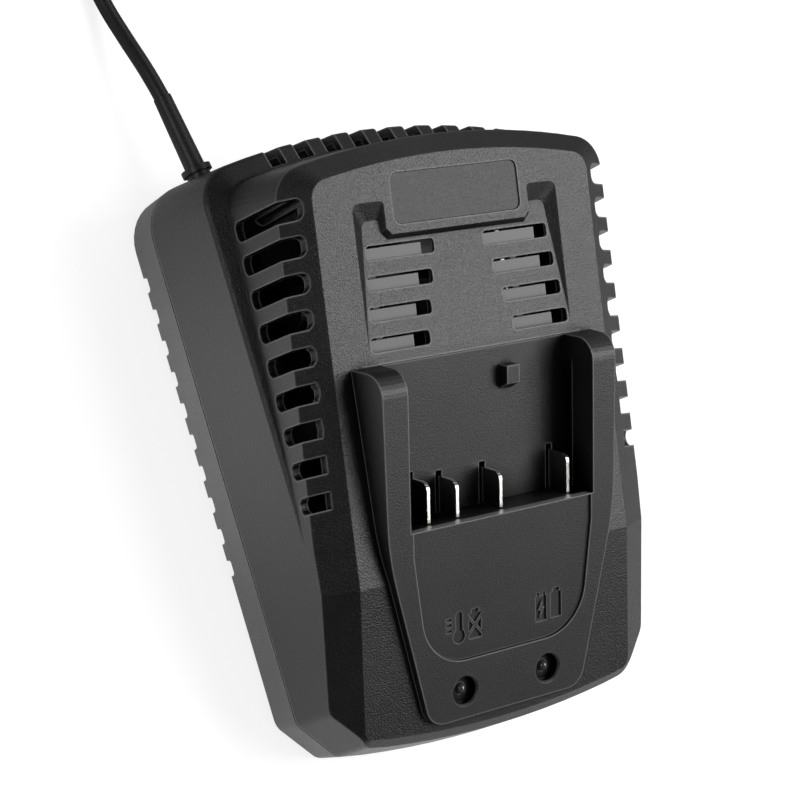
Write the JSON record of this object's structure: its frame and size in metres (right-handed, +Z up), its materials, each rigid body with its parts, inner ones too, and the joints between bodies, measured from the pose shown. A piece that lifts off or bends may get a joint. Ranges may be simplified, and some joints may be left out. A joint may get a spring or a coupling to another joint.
{
  "type": "power tool battery charger",
  "caption": "Mains battery charger: a tiered, vented housing with a sloping deck, a U-shaped slide cradle with blade contacts and two lights, and a mains cord.",
  "frame": {"origin": "on the surface it stands on, under the centre of the housing's box", "axes": "+X right, +Y towards the cord end, +Z up"},
  "size_m": [0.1269, 0.308, 0.068],
  "materials": {
    "housing": "fine spark-eroded texture",
    "cradle_plastic": "fine texture, smoother on the slide faces",
    "panel_film": "satin",
    "plate_film": "satin",
    "light_bars": "fine texture",
    "holder_plastic": "plain",
    "contact_metal": "tinned",
    "lens": "clear epoxy",
    "board": "dark solder resist",
    "ferrite": "ground",
    "bobbin_plastic": "plain",
    "winding_tape": "tape",
    "copper_wire": "dark enamelled copper wire",
    "film_box": "moulded",
    "fuse_glass": "clear",
    "package_black": "moulded",
    "sleeve_blue": "shrunk film",
    "heat_sink": "extruded",
    "lead_insulation": "plain",
    "screw_steel": "zinc plated",
    "foot_rubber": "matte",
    "rating_film": "satin",
    "cord_rubber": "matte",
    "plug_plastic": "fine texture",
    "pin_metal": "nickel plated"
  },
  "bodies": {
    "root": {"base_shell": "housing", "upper_shell": "housing", "battery_cradle": "cradle_plastic", "indicator_panel": "panel_film", "name_plate": "plate_film", "vent_baffle": "light_bars", "terminal_holder": "holder_plastic", "contact_a": "contact_metal", "contact_b": "contact_metal", "contact_c": "contact_metal", "contact_d": "contact_metal", "led_left": "lens", "led_right": "lens", "main_pcb": "board", "transformer_core": "ferrite", "transformer_bobbin": "bobbin_plastic", "transformer_winding": "winding_tape", "line_choke_core": "ferrite", "line_choke_winding": "copper_wire", "x_capacitor": "film_box", "fuse": "fuse_glass", "bridge_rectifier": "package_black", "bulk_capacitor": "sleeve_blue", "heat_sink_primary": "heat_sink", "switching_transistor": "package_black", "heat_sink_output": "heat_sink", "output_diode": "package_black", "output_capacitors": "sleeve_blue", "control_chip": "package_black", "mains_leads": "lead_insulation", "cord_clamp": "bobbin_plastic", "clamp_screws": "screw_steel", "pcb_screws": "screw_steel", "housing_screws": "screw_steel", "rubber_feet": "foot_rubber", "rating_plate": "rating_film", "strain_relief": "cord_rubber", "cord_lead": "cord_rubber", "cord_coil": "cord_rubber", "cord_tail": "cord_rubber", "plug_body": "plug_plastic", "plug_pins": "pin_metal"}
  },
  "joints": []
}
